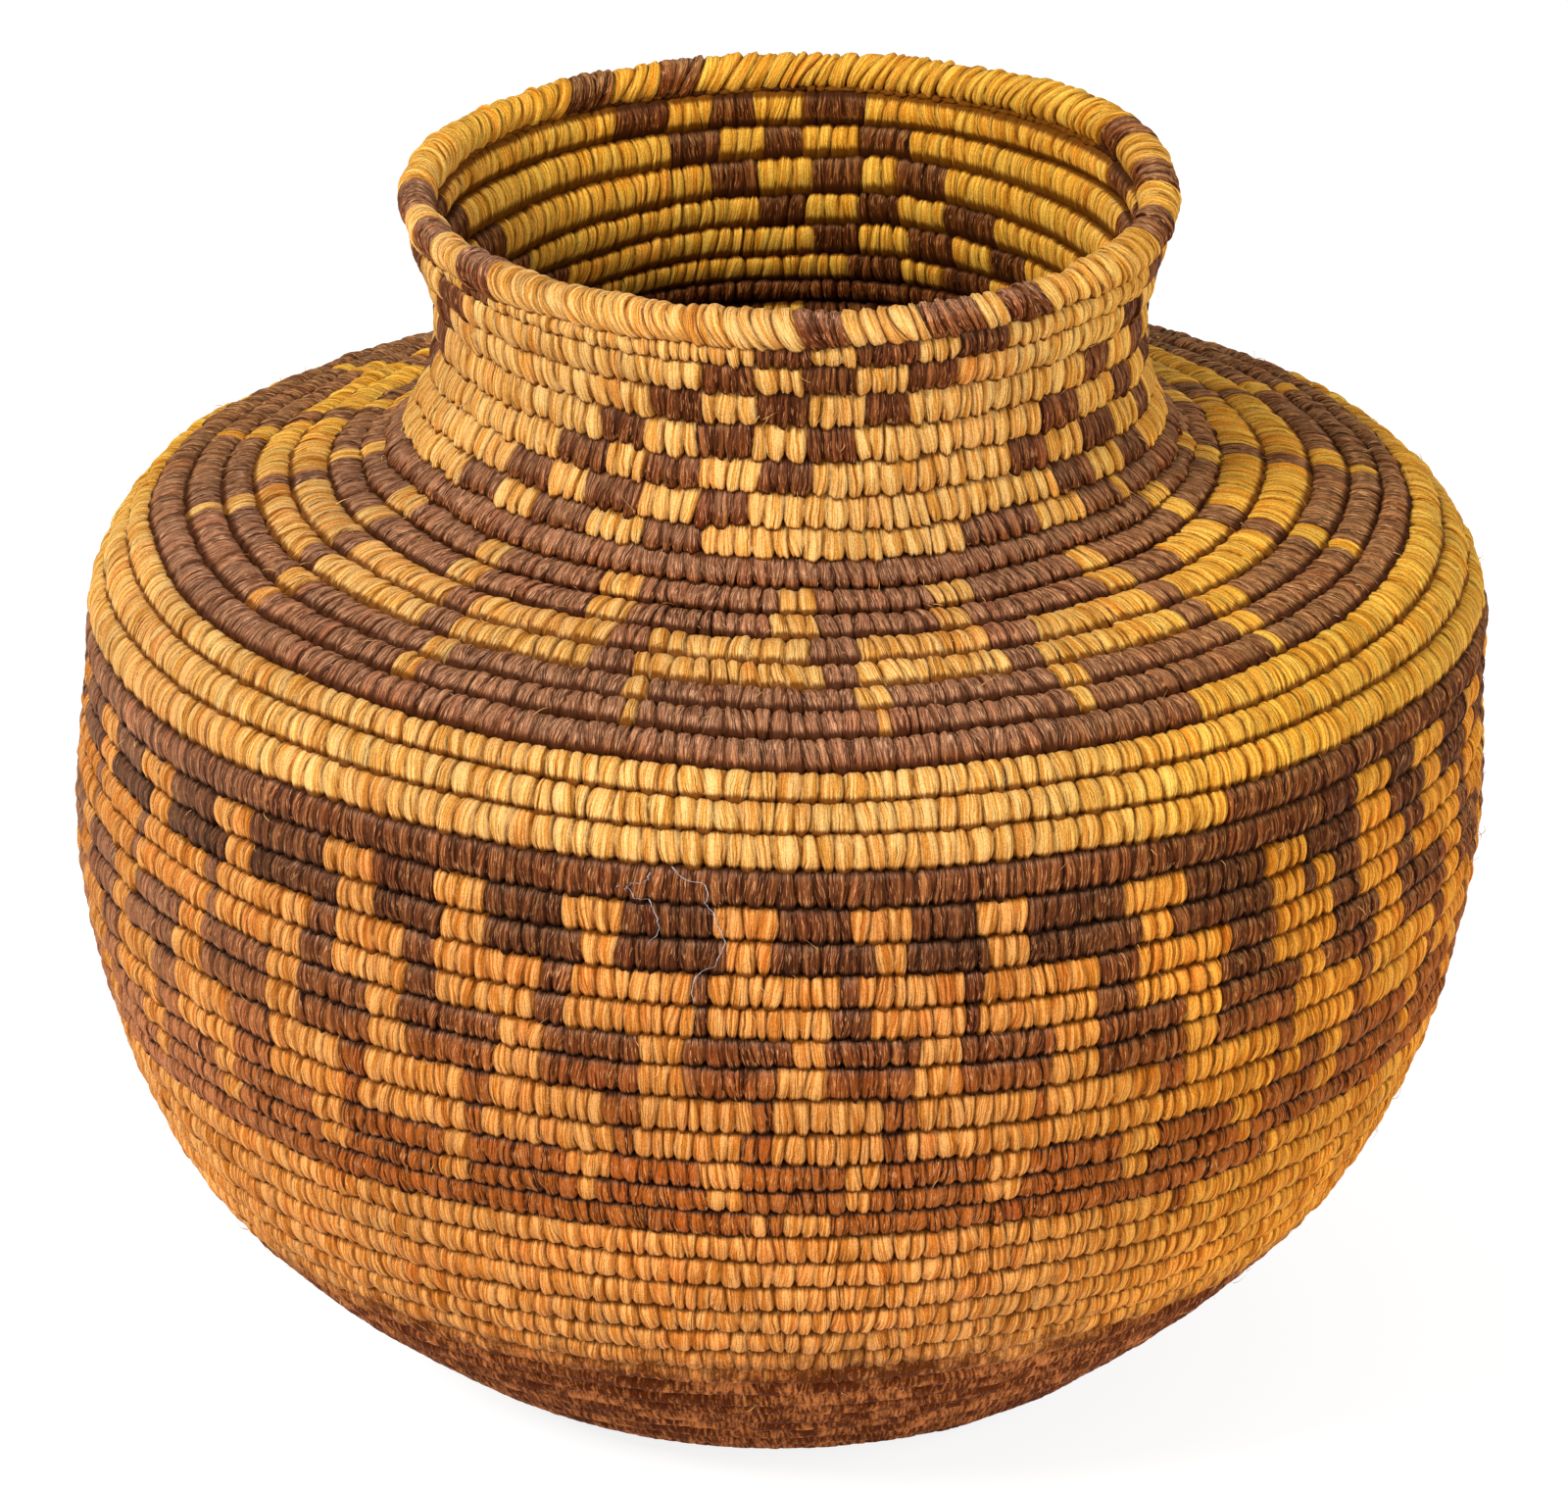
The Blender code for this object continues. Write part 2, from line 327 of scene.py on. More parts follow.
class Outline:
    """The wall's outer surface by its length, measured from the middle of the base."""

    def __init__(self):
        radii, rises = np.array([(radius, rise) for _, radius, rise in STATIONS]).T
        stations = np.column_stack([radii, np.cumsum(rises)])
        legs = np.linalg.norm(np.diff(stations, axis=0), axis=1)[:, None]
        slopes = np.diff(stations, axis=0) / legs
        inner = (slopes[:-1] * legs[1:] + slopes[1:] * legs[:-1]) / (legs[:-1] + legs[1:])
        headings = np.vstack([[1, 0], inner, [0, 1]])
        t = np.arange(OUTLINE_STEPS)[:, None] / OUTLINE_STEPS
        points = [np.zeros((1, 2))]
        for i, leg in enumerate(legs):
            leaving, arriving = headings[i] * leg, headings[i + 1] * leg
            points.append(curve(t, stations[i], stations[i + 1], leaving, arriving))
        points.append(stations[-1:])
        self.points = np.vstack(points)
        steps = np.linalg.norm(np.diff(self.points, axis=0), axis=1)
        self.lengths = np.concatenate([[0], np.cumsum(steps)])
        self.total = self.lengths[-1]

    def at(self, length):
        """Radius and height there, carried on straight beyond the two ends."""
        radius = np.interp(length, self.lengths, self.points[:, 0])
        height = np.interp(length, self.lengths, self.points[:, 1])
        return radius + np.minimum(length, 0), height + np.maximum(length - self.total, 0)

    def outward(self, length):
        """The direction square to the wall there, as radius and height."""
        reach = WALL_THICKNESS / 2
        r0, z0 = self.at(length - reach)
        r1, z1 = self.at(length + reach)
        size = np.hypot(r1 - r0, z1 - z0)
        return (z1 - z0) / size, -(r1 - r0) / size


OUTLINE = Outline()
PITCH = (OUTLINE.total - START_KNOT_RADIUS) / TURNS
MOUTH_RADIUS, MOUTH_HEIGHT = OUTLINE.points[-1]
RIM_MIDDLE_RADIUS = MOUTH_RADIUS + RIM_OVERHANG - RIM_THICKNESS / 2
RIM_MIDDLE_HEIGHT = MOUTH_HEIGHT + RIM_THICKNESS / 2


def ramp(value, low, high):
    """0 at low and before it, 1 at high and beyond, straight between."""
    return np.clip((value - low) / (high - low), 0, 1)


def ease(value, low, high):
    """0 at low and before it, 1 at high and beyond, smooth between."""
    share = ramp(value, low, high)
    return share * share * (3 - 2 * share)


def smooth_noise(seed, at, per_unit):
    """Smooth random values from -1 to 1 along a line, per_unit of them in each unit."""
    rng = np.random.default_rng(seed)
    values = rng.uniform(-1, 1, int(np.max(at) * per_unit) + 4)
    place = np.asarray(at) * per_unit
    low = np.floor(place).astype(int)
    share = ease(place - low, 0, 1)
    return values[low] * (1 - share) + values[low + 1] * share


def stations_at(stations, place):
    """Values between the stations of a (place, value) list, as a smooth curve through them."""
    places, values = np.array(stations).T
    slopes = np.gradient(values, places)
    i = np.clip(np.searchsorted(places, place) - 1, 0, len(places) - 2)
    gap = places[i + 1] - places[i]
    t = ramp(place, places[i], places[i + 1])
    return curve(t, values[i], values[i + 1], gap * slopes[i], gap * slopes[i + 1])


def azimuth_of(turns):
    """Degrees to the right of the front, from -180 to 180, after so many turns."""
    return (math.degrees(SEAM_ANGLE) + 270 - 360 * turns) % 360 - 180


def mouth_lift(azimuth):
    """How much higher the mouth lies there than at the front."""
    return stations_at(MOUTH_LIFT, (azimuth + 180) % 360 - 180)


def ends_fade(turns, fades):
    """0 at the two ends of the coil and 1 between them, faded over so many turns at each."""
    return ramp(turns, 0, fades[0]) * ramp(turns, TURNS, TURNS - fades[1])


def course_wave(turns):
    """How far the hand-sewn courses rise and fall, as an offset along the outline."""
    angle = math.tau * turns
    waves = sum(
        strength * np.sin(many * angle + phase + drift * turns)
        for many, strength, phase, drift in WAVES
    )
    return COURSE_WAVE * waves * ends_fade(turns, WAVE_FADES)


def course_bend(turns):
    """How far a course lies above its height at the front, out towards the two sides."""
    azimuth = azimuth_of(turns)
    left = stations_at([(turn, bend) for turn, bend, _ in COURSE_BENDS], turns)
    right = stations_at([(turn, bend) for turn, _, bend in COURSE_BENDS], turns)
    shown = (turns > COURSE_BENDS[0][0]) & (turns < COURSE_BENDS[-1][0])
    reach = (1 - np.cos(np.radians(azimuth))) * ease(np.abs(azimuth), *BEND_FADE) * shown
    return np.where(azimuth < 0, left, right) * reach


def seam_line(turns):
    """Where the seam under the coil lies along the outline after so many turns."""
    even = np.minimum(START_KNOT_RADIUS + PITCH * turns, OUTLINE.total)
    even = even + MOUTH_TUCK * (turns >= TURNS)
    lumps = COIL_LUMPS * smooth_noise(11, turns + 1, COIL_LUMPS_PER_TURN)
    lumps *= ends_fade(turns, LUMP_FADES)
    drift = stations_at(COURSE_DRIFT, turns) * (turns > COURSE_DRIFT[0][0])
    moved = (course_wave(turns) + drift) * (turns < TURNS) + course_bend(turns) + lumps
    lift = mouth_lift(azimuth_of(turns)) * ramp(turns, MOUTH_LIFT_FROM_TURN, TURNS)
    return even + moved + lift


def settle(points):
    """Spreads and leans the points sideways, and lets the shoulder sag, as on the basket."""
    sag = SAG * (1 - ease(points[..., 2], *SAG_TOP)) * (1 - ease(points[..., 0], *SAG_LEFT))
    for axis in range(3):
        sag = sag * ease(points[..., axis], SAG_FROM[axis], SAG_FULL[axis])
    points[..., 0] *= 1 + stations_at(SIDE_SPREAD, points[..., 2])
    points[..., 0] += stations_at(SIDE_LEAN, points[..., 2])
    points[..., 2] -= sag
    return points


def all_round(figures, behind):
    """The figures shown, and as many more spread evenly from the last round to the first."""
    last, first = np.array(figures[-1]), np.array(figures[0]) + 360
    share = np.arange(1, behind + 1)[:, None] / (behind + 1)
    return np.vstack([figures, last + (first - last) * share])


def in_figures(figures, rule, azimuth):
    """Whether an azimuth lies in the tan run that the rule gives each figure."""
    start_measure, start_offset, end_measure, end_offset = rule
    starts = figures[:, start_measure] + start_offset
    widths = figures[:, end_measure] + end_offset - starts
    past = (azimuth[:, None] - starts) % 360
    return np.any(past < widths, axis=1)


def neck_cells(course, azimuth):
    """The slanting checkered bands down the neck: where their cells are brown."""
    row = NECK_TOP_COURSE - course
    brown = np.zeros(azimuth.shape, bool)
    for start in NECK_BANDS:
        past = (start - azimuth) % 360
        root = np.sqrt(NECK_CELL_WIDTH**2 + 4 * NECK_CELL_GROWTH * past)
        cell = np.floor((root - NECK_CELL_WIDTH) / (2 * NECK_CELL_GROWTH)) - row
        brown |= (cell >= 0) & (cell < NECK_BAND_CELLS) & (cell % 2 == 0)
    return brown


def is_brown(zone, course, azimuth):
    """Which stitches of a course are brown. The pattern steps down one course on its way."""
    if zone in ("base_round", "foot_round"):
        return np.ones(azimuth.shape, bool)
    if zone == "neck_round":
        return neck_cells(course, azimuth)
    brown = np.full(azimuth.shape, zone in ("belly_round", "shoulder_round"))
    patterns = (
        (BELLY_FIGURES, BELLY_FIGURES_BEHIND, BELLY_RINGS, BELLY_STEP),
        (SHOULDER_FIGURES, SHOULDER_FIGURES_BEHIND, SHOULDER_RINGS, SHOULDER_STEP),
    )
    for shown, behind, rules, step in patterns:
        figures = all_round(shown, behind)
        for above in (0, 1):
            here = (azimuth < step - 360) == bool(above)
            if course + above in rules:
                brown &= ~(here & in_figures(figures, rules[course + above], azimuth))
    for ring, start, end, stray in STRAY_STITCHES:
        if course == ring:
            brown = np.where((azimuth % 360 - start) % 360 < end - start, stray, brown)
    if course + 1 == NECK_LOWEST_COURSE:
        early = azimuth < NECK_EARLY_START - 360
        cells = neck_cells(course + 1, azimuth - NECK_EARLY_SHIFT)
        brown = np.where(early, cells, brown)
    return brown


def rim_is_brown(azimuth):
    """The short brown runs on the rim, which carry the neck's bands up over it."""
    return np.any([(azimuth - start) % 360 < end - start for start, end in RIM_RUNS], axis=0)


class Sewing:
    """The stitches along one course, with their random traits.

    stitch, x and share hold for every column of points its stitch, its place across that
    stitch from -1 to 1, and its share of the course. A closed course ends as it began.
    """

    def __init__(self, count, seed, lean=STITCH_LEAN, spread=STITCH_LEAN_SPREAD, closed=False):
        rng = np.random.default_rng(seed)
        widths = 1 + STITCH_WIDTH_SPREAD * rng.uniform(-1, 1, count)
        self.edges = np.concatenate([[0], np.cumsum(widths)]) / widths.sum()
        self.leans = np.tan(lean + spread * rng.uniform(-1, 1, count + 1))
        self.bows = STITCH_BOW * rng.uniform(-1, 1, count + 1)
        for values in (self.leans, self.bows):
            values[[0, -1]] = 0
        self.gaps = STITCH_GAP_DEPTH * rng.uniform(0.1, 1.5, count + 1) ** 2
        self.bulges = STITCH_BULGE * rng.uniform(0.35, 1.65, count)
        self.tongues = TONGUE_LENGTH * rng.uniform(0.2, 1.6, count)
        self.tilts = rng.uniform(-1, 1, count)
        self.seeds = rng.uniform(0, 1, count)
        columns = count * len(COLUMNS_ACROSS) + 1
        self.strands = rng.uniform(-1, 1, (columns, 2))
        self.frays = rng.uniform(0, 1, columns)
        runs = smooth_noise(seed + 1, np.arange(count) / 9, 1)
        self.tones = 0.55 * runs + 0.45 * rng.uniform(-1, 1, count)
        self.warmths = np.clip(rng.normal(0, 0.1, count) + 0.12 * runs, 0, 1)
        if closed:
            self.edges[-1] = 1
            self.gaps[-1] = self.gaps[0]
            self.strands[-1] = self.strands[0]

        self.stitch = np.append(np.repeat(np.arange(count), len(COLUMNS_ACROSS)), count - 1)
        self.x = np.append(np.tile(COLUMNS_ACROSS, count), 1)[:, None]
        self.share = self.between(self.edges)

    def each(self, values):
        """A trait that is held per stitch, for every column."""
        return values[self.stitch][:, None]

    def between(self, values):
        """A trait that is held per stitch edge, read between the edges for every column."""
        half = (self.x + 1) / 2
        return self.each(values) * (1 - half) + self.each(values[1:]) * half

    def gap_depths(self):
        return self.between(self.gaps) * np.abs(self.x) ** STITCH_GAP_POWER

    def strand_heights(self, rise):
        """How high on a strand each point lies, from -1 to 1. The stitch edges lie level."""
        upper = (1 + rise) / 2
        strands = self.strands[:, :1] * upper + self.strands[:, 1:] * (1 - upper)
        return strands * (np.abs(self.x) < 1)

    def azimuths(self, turns):
        """Degrees to the right of the front of every stitch, on a course of so many turns."""
        centre = (self.edges[:-1] + self.edges[1:]) / 2
        return math.degrees(SEAM_ANGLE) + 90 - 360 * centre * turns


def stitch_traits(sewing, brown, course, azimuth):
    """Per stitch: brown or tan, its shade, its warmth and a seed for its fibres."""
    shade = 1 + np.where(brown, BROWN_TONES, TAN_TONES) * sewing.tones
    dark = np.isin(course + (azimuth < BELLY_STEP - 360), DARK_RINGS)
    shade = np.where(brown & dark, shade * DARK_RINGS_SHADE, shade)
    black_course, black_start, black_end = BLACK_STRETCH
    black = (course == black_course) & (azimuth > black_start) & (azimuth < black_end)
    shade = np.where(brown & black, shade * BLACK_STRETCH_SHADE, shade)
    on_neck = NECK_LOWEST_COURSE <= course < TURNS
    shade = np.where(brown & on_neck, shade * NECK_BROWN_SHADE, shade)
    return np.column_stack([brown.astype(float), shade, sewing.warmths, sewing.seeds])


def srgb(red, green, blue):
    """A screen colour from 0 to 255 as the linear colour that a shader takes."""
    shares = np.array([red, green, blue]) / 255
    linear = np.where(shares <= 0.04045, shares / 12.92, ((shares + 0.055) / 1.055) ** 2.4)
    return (*linear.tolist(), 1)


TAN_DARK = srgb(134, 70, 14)
TAN = srgb(197, 115, 36)
TAN_LIGHT = srgb(236, 167, 92)
TAN_ABOVE = srgb(214, 144, 56)
TAN_LIGHT_ABOVE = srgb(242, 194, 118)
TAN_CRACK = srgb(84, 44, 8)
BROWN_DARK = srgb(50, 17, 2)
BROWN = srgb(112, 58, 25)
BROWN_BELOW = srgb(176, 91, 24)
BROWN_LIGHT = srgb(166, 100, 52)
BROWN_STREAK = srgb(214, 150, 98)
# The colour of the painted sheen on the brown fibre
PAINTED_SHEEN = srgb(214, 162, 124)
WARM = srgb(236, 150, 90)
# The colours of the painted shade in the gaps and grooves; the brown is lighter higher up, where
# more light reaches the grooves
TAN_GROOVE_SHADE = srgb(108, 56, 2)
BROWN_GROOVE_SHADE = srgb(34, 10, 0)
BROWN_GROOVE_SHADE_ABOVE = srgb(66, 30, 6)
# The sooted foot's colour, darker still as painted shade near the base
FOOT_SOOT_AND_SHADE = srgb(84, 35, 10)
FOOT_FLECK = srgb(212, 130, 72)
LINT_GREY = srgb(150, 146, 152)
LINT_WHITE = srgb(214, 212, 216)
# Tints of the painted warm light on the right and at the back
YELLOW_TAN = (1.12, 1.08, 0.44, 1)
YELLOW_BROWN = (1, 0.97, 0.7, 1)

# The fibres in the splints: their width, how far a stitch's lie aslant, and their length
FIBRE_WIDTH = 0.00046
FIBRE_SLANT = 0.34
FIBRE_RUN = 0.013
FIBRE_WANDER = 0.0006
FIBRE_BUMP = 0.0003
# Where the colours change over the basket, from the first measure to the second: up from the
# base, to the right of the middle, or back from it
YELLOWER_HEIGHTS = (0.155, 0.18)
BROWNER_HEIGHTS = (0.14, 0.105)
LIGHTER_HEIGHTS = (0.095, 0.06)
# Below these heights the foot is sooted, and in painted shade
SOOT_AND_SHADE_HEIGHTS = (0.053, 0.04)
# Painted sheen on the brown fibre towards the left
LEFT_SHEEN = (-0.085, -0.15)
# Painted warm light, towards the right and towards the back
YELLOW_LIGHT_RIGHT = (0.032, 0.105)
YELLOW_LIGHT_BACK = (-0.03, 0.05)
# How many of each pattern's spots lie in a metre
WANDER_SCALE = 420
GRAIN_SCALE = 2600
PATCH_SCALE = 30
BLOTCH_SCALE = 90
GAP_SHADE_SCALE = 260


class Nodes:
    """Short calls for building a node tree."""

    def __init__(self, tree):
        self.tree = tree
        self.tree.nodes.clear()

    def add(self, kind, inputs=None, **settings):
        """A shader node with its settings, and with outputs or plain values on its inputs."""
        node = self.tree.nodes.new("ShaderNode" + kind)
        for key, value in settings.items():
            setattr(node, key, value)
        for key, value in (inputs or {}).items():
            if isinstance(value, bpy.types.NodeSocket):
                self.tree.links.new(value, node.inputs[key])
            else:
                node.inputs[key].default_value = value
        return node

    def maths(self, operation, *values, clamp=False):
        inputs = dict(enumerate(values))
        return self.add("Math", inputs, operation=operation, use_clamp=clamp).outputs[0]

    def times(self, a, b):
        return self.maths("MULTIPLY", a, b)

    def ramp(self, value, low, high, to_low=0, to_high=1):
        """Maps low..high smoothly to to_low..to_high."""
        inputs = dict(enumerate((value, low, high, to_low, to_high)))
        return self.add("MapRange", inputs, interpolation_type="SMOOTHSTEP").outputs[0]

    def mix(self, factor, a, b, blend="MIX"):
        inputs = {0: factor, 6: a, 7: b}
        return self.add("Mix", inputs, data_type="RGBA", blend_type=blend).outputs[2]

    def tint(self, colour, tint):
        return self.mix(1, colour, tint, "MULTIPLY")

    def noise(self, vector, scale, detail=2, roughness=0.5):
        inputs = {"Vector": vector, "Scale": scale, "Detail": detail, "Roughness": roughness}
        return self.add("TexNoise", inputs, noise_dimensions="3D").outputs["Fac"]

    def split(self, vector):
        return tuple(self.add("SeparateXYZ", {0: vector}).outputs)

    def combine(self, x, y, z):
        return self.add("CombineXYZ", {0: x, 1: y, 2: z}).outputs[0]

    def output(self, shader, kind="OutputMaterial"):
        self.add(kind, {0: shader.outputs[0]})

    def surface(self, colour, roughness, specular, **more):
        inputs = {"Base Color": colour, "Roughness": roughness, "Specular IOR Level": specular}
        self.output(self.add("BsdfPrincipled", {**inputs, **more}))


def new_material(name):
    """A material, and the calls that build its node tree."""
    material = bpy.data.materials.new(name)
    material.use_nodes = True
    return material, Nodes(material.node_tree)


def sewing_values(n):
    """What the material reads of the sewing: each stitch's traits and where a point lies."""
    s = SimpleNamespace()
    traits = n.add("Attribute", attribute_name="splint").outputs
    s.brown, s.shade, s.warmth = n.add("SeparateColor", {0: traits["Color"]}).outputs
    s.seed = n.times(traits["Alpha"], 37)
    grooves = n.add("Attribute", attribute_name="grooves").outputs["Vector"]
    s.edge, s.hollow, s.strand = n.split(grooves)
    s.along, s.around, _ = n.split(n.add("UVMap", uv_map="Coil").outputs[0])
    s.place = n.add("TexCoord").outputs["Object"]
    s.sideways, s.back, s.height = n.split(s.place)
    s.facing = n.split(n.add("NewGeometry").outputs["Normal"])[2]
    s.yellower = n.ramp(s.height, *YELLOWER_HEIGHTS)
    return s


def fibre_values(n, s):
    """The patterns of the fibres, which run round the coil, and each stitch has its own."""
    wander = n.maths("SUBTRACT", n.noise(s.place, WANDER_SCALE, 1), 0.5)
    slant = n.maths("SUBTRACT", n.maths("FRACT", n.times(s.seed, 3.7)), 0.5)
    slant = n.times(slant, FIBRE_SLANT)
    drifting = n.maths("MULTIPLY_ADD", wander, FIBRE_WANDER, s.along)
    drifting = n.maths("MULTIPLY_ADD", slant, s.around, drifting)
    across = n.maths("DIVIDE", drifting, FIBRE_WIDTH)
    run = n.maths("DIVIDE", s.around, FIBRE_RUN)
    fibres = n.noise(n.combine(across, run, s.seed), 1, 3, 0.66)
    finer = n.times(across, 1.9)
    worn = n.combine(n.times(across, 0.55), n.times(run, 3.2), 21)
    return SimpleNamespace(
        fibres=fibres,
        ridge=n.maths("MULTIPLY_ADD", s.strand, 0.09, fibres),
        streaks=n.noise(n.combine(finer, n.times(run, 5), 5), 1, 1),
        cracks=n.noise(n.combine(finer, n.times(run, 1.5), 9), 1),
        worn=n.noise(worn, 1, 1),
        grain=n.noise(s.place, GRAIN_SCALE, 2),
        blotches=n.noise(s.place, BLOTCH_SCALE, 5, 0.75),
    )


def tan_fibre(n, s, f):
    """Tan fibre, yellower on the shoulder and neck, with dark cracks."""
    tan = n.mix(s.yellower, TAN, TAN_ABOVE)
    tan_light = n.mix(s.yellower, TAN_LIGHT, TAN_LIGHT_ABOVE)
    tan = n.mix(n.ramp(f.ridge, 0.24, 0.42), TAN_DARK, tan)
    tan = n.mix(n.ramp(f.ridge, 0.42, 0.6), tan, tan_light)
    return n.mix(n.ramp(f.cracks, 0.59, 0.67, 0, 0.8), tan, TAN_CRACK)


def brown_fibre(n, s, f):
    """Brown fibre with light streaks, and painted sheen where it faces up and on the left."""
    dark = n.mix(n.ramp(s.height, *BROWNER_HEIGHTS), BROWN, BROWN_BELOW)
    dark = n.mix(n.ramp(f.ridge, 0.34, 0.54), BROWN_DARK, dark)
    dark = n.mix(n.ramp(f.ridge, 0.54, 0.66), dark, BROWN_LIGHT)
    dark = n.mix(n.ramp(f.streaks, 0.6, 0.67, 0, 0.8), dark, BROWN_STREAK)
    # Painted light on the ridges and streaks that face up
    on_ridges = n.ramp(f.ridge, 0.4, 0.6, 0.08, 0.34)
    top_sheen = n.maths("MAXIMUM", on_ridges, n.ramp(f.streaks, 0.5, 0.62, 0, 0.72))
    top_sheen = n.times(n.ramp(s.facing, 0.2, 0.95), top_sheen)
    # Painted sheen on the left side
    left_sheen = n.ramp(s.sideways, *LEFT_SHEEN, 0, 0.34)
    left_sheen = n.times(left_sheen, n.ramp(f.ridge, 0.3, 0.6, 0.3, 1))
    return n.mix(n.maths("MAXIMUM", top_sheen, left_sheen), dark, PAINTED_SHEEN)


def toned_with_painted_light_and_shade(n, s, f, colour):
    """Painted warm light tints the fibre yellower on the right and at the back. Tones differ by
    stitch and by patch, with painted shade towards each stitch's edges.
    """
    # Painted warm light: tinted yellower on the right and at the back
    yellow_light = n.maths("MAXIMUM", n.ramp(s.sideways, *YELLOW_LIGHT_RIGHT), n.ramp(s.back, *YELLOW_LIGHT_BACK))
    yellow = n.tint(colour, n.mix(s.brown, YELLOW_TAN, YELLOW_BROWN))
    colour = n.mix(yellow_light, colour, yellow)
    patches = n.noise(s.place, PATCH_SCALE, 3, 0.6)
    tone = n.times(s.shade, n.ramp(patches, 0.35, 0.65, 1.05, 0.86))
    tone = n.times(tone, n.ramp(f.grain, 0.3, 0.7, 0.8, 1.18))
    # Painted shade: each stitch darker towards its edges
    tone = n.times(tone, n.ramp(s.edge, 0.25, 0.95, 1.04, 0.8))
    tone = n.times(tone, n.ramp(s.height, *LIGHTER_HEIGHTS, 1, 1.08))
    colour = n.tint(colour, n.combine(tone, tone, tone))
    return n.mix(s.warmth, colour, n.tint(colour, WARM))


def soot_and_shade(n, s, f):
    """How sooted the foot is there, with painted shade near the base, and the colour of both with
    its worn flecks.
    """
    ragged = n.maths("ADD", s.height, n.maths("MULTIPLY_ADD", f.blotches, 0.03, -0.015))
    flecks = n.maths("MULTIPLY_ADD", f.worn, 0.75, n.times(f.blotches, 0.9))
    flecks = n.maths("MULTIPLY_ADD", f.grain, 0.35, flecks)
    colour = n.mix(n.ramp(flecks, 0.9, 1.26), FOOT_SOOT_AND_SHADE, FOOT_FLECK)
    return n.ramp(ragged, *SOOT_AND_SHADE_HEIGHTS, 0, 0.94), colour


def with_painted_gap_shade(n, s, f, sooty_and_shaded, colour):
    """Painted shade in the gaps between stitches and the grooves between courses."""
    # Painted shade in the gaps between stitches, patchy along the course
    gap = n.times(n.ramp(s.edge, 0.76, 1), n.ramp(s.brown, 0, 1, 0.94, 0.7))
    gap = n.times(gap, n.ramp(n.noise(s.place, GAP_SHADE_SCALE), 0.4, 0.6, 0.15, 1))
    # Painted shade in the grooves between courses, with a ragged edge
    ragged = n.maths("MULTIPLY_ADD", n.maths("SUBTRACT", 0.5, f.fibres), 0.9, s.hollow)
    groove = n.ramp(ragged, n.ramp(s.brown, 0, 1, 0.26, 0.12), 0.8, 0, 0.94)
    brown_groove_shade = n.mix(s.yellower, BROWN_GROOVE_SHADE, BROWN_GROOVE_SHADE_ABOVE)
    shade_amount = n.times(n.maths("MAXIMUM", gap, groove), n.ramp(sooty_and_shaded, 0, 1, 1, 0.45))
    return n.mix(shade_amount, colour, n.mix(s.brown, TAN_GROOVE_SHADE, brown_groove_shade))


def splint_material():
    """Split plant fibre: fine streaks along each stitch, tan or brown, with painted shade in the
    grooves.
    """
    material, n = new_material("sewn_splint")
    s = sewing_values(n)
    f = fibre_values(n, s)
    colour = toned_with_painted_light_and_shade(n, s, f, n.mix(s.brown, tan_fibre(n, s, f), brown_fibre(n, s, f)))
    sooty_and_shaded, soot_and_shade_colour = soot_and_shade(n, s, f)
    colour = with_painted_gap_shade(n, s, f, sooty_and_shaded, n.mix(sooty_and_shaded, colour, soot_and_shade_colour))
    relief = {"Strength": 1, "Distance": FIBRE_BUMP, "Height": f.fibres}
    bump = n.add("Bump", relief).outputs[0]
    roughness = n.ramp(f.fibres, 0.3, 0.7, 0.75, 0.5)
    n.surface(colour, roughness, n.ramp(sooty_and_shaded, 0, 0.9, 0.08, 0.02), Normal=bump)
    return material


def thread_material(name, scale, detail, colours, roughness, specular):
    """Fine threads whose colour goes from the first of two to the second."""
    material, n = new_material(name)
    place = n.add("TexCoord").outputs["Object"]
    tone = n.ramp(n.noise(place, scale, detail), 0.35, 0.65)
    n.surface(n.mix(tone, *colours), roughness, specular)
    return material


SPLINT = splint_material()


def face_corners(*corners):
    """The places on a map of the four corners of every face, one face after the other."""
    return np.stack([np.stack(corner, -1) for corner in corners], axis=2).reshape(-1, 2)


def add_map(mesh, name, places):
    layer = mesh.uv_layers.new(name=name)
    layer.data.foreach_set("uv", places.ravel().astype(np.float32))
    return layer


def coil_places(along, around):
    """The metres along and around the coil at the corners of every face of a tube."""
    after_along = np.roll(along, -1, 1)
    beyond = around[:, -1:] + np.diff(around[:, -2:])
    after_around = np.concatenate([around[:, 1:], beyond], axis=1)
    return face_corners(
        (along[:-1], around[:-1]),
        (along[1:], around[1:]),
        (after_along[1:], after_around[1:]),
        (after_along[:-1], after_around[:-1]),
    )


def bake_places(gaps, ring):
    """The places on the baked map, without overlap, of the faces of a tube and its caps."""
    gap = np.arange(gaps)
    row = (gap * MAP_ROWS) // gaps
    row_start = np.searchsorted(row, np.arange(MAP_ROWS))
    row_end = np.append(row_start[1:], gaps)
    span = (row_end - row_start)[row]
    strip = MAP_ROWS_SHARE / MAP_ROWS
    step = np.arange(ring)[None, :]
    rows, margin = row[:, None] * strip, MAP_ROW_MARGIN
    bottom = rows + strip * (margin + (1 - 2 * margin) * (step / ring))
    top = rows + strip * (margin + (1 - 2 * margin) * ((step + 1) / ring))
    left = np.broadcast_to(((gap - row_start[row]) / span)[:, None], bottom.shape)
    right = np.broadcast_to(((gap - row_start[row] + 1) / span)[:, None], bottom.shape)
    faces = face_corners((left, bottom), (right, bottom), (right, top), (left, top))
    turn = math.tau * np.arange(ring) / ring
    disc = CAP_RADIUS * np.stack([np.cos(turn), np.sin(turn)], -1)
    return np.vstack([faces] + [disc + place for place in CAP_PLACES])


